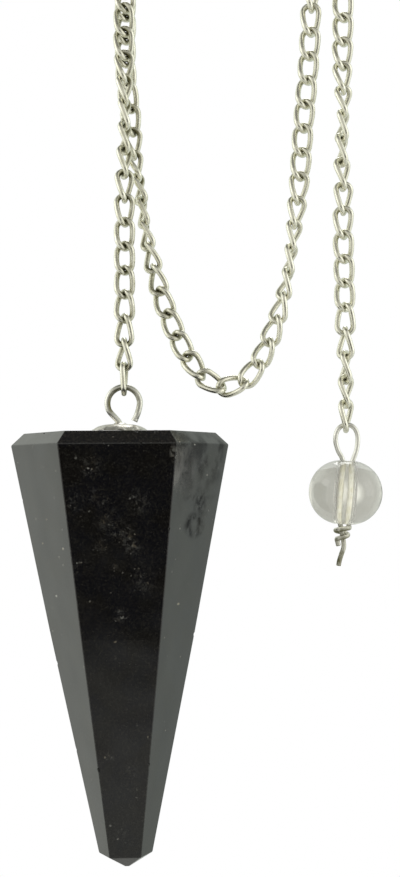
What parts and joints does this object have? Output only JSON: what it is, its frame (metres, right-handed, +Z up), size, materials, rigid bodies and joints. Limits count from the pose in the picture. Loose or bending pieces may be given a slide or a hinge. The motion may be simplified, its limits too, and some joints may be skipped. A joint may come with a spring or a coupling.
{
  "type": "pendulum pendant",
  "caption": "Hanging pendulum: a hexagonal black stone point on an eye pin, with a fine curb chain over two supports and a clear drilled bead at its other end.",
  "frame": {"origin": "the hang point under the left bend of the chain, where the pendant strand goes over its support", "axes": "+Z up, +X to the viewer's right from the stone to the bead, +Y away from the viewer"},
  "size_m": [0.0371, 0.019, 0.0911],
  "materials": {
    "black_stone": "polished, with fine grain, tan flecks and hair scratches",
    "silver_cap": "stamped, softly polished",
    "silver_wire": "drawn wire, lightly tarnished",
    "silver_chain": "plated, lightly tarnished, with a faint yellow-green cast",
    "clear_quartz": "polished, clear with faint haze"
  },
  "bodies": {
    "strand": {"chain": "silver_chain", "end_link_pendant": "silver_chain", "end_link_bead": "silver_chain", "bead": "clear_quartz", "bead_wire": "silver_wire"},
    "drop": {"stone": "black_stone", "cap": "silver_cap", "eye": "silver_wire"}
  },
  "joints": [
    {"name": "drop_swing", "type": "hinge", "parent": "strand", "child": "drop", "pos_m": [-0.0001, -0.0013, -0.0412], "axis": [1, 0, 0], "range_deg": [-90, 90]}
  ]
}
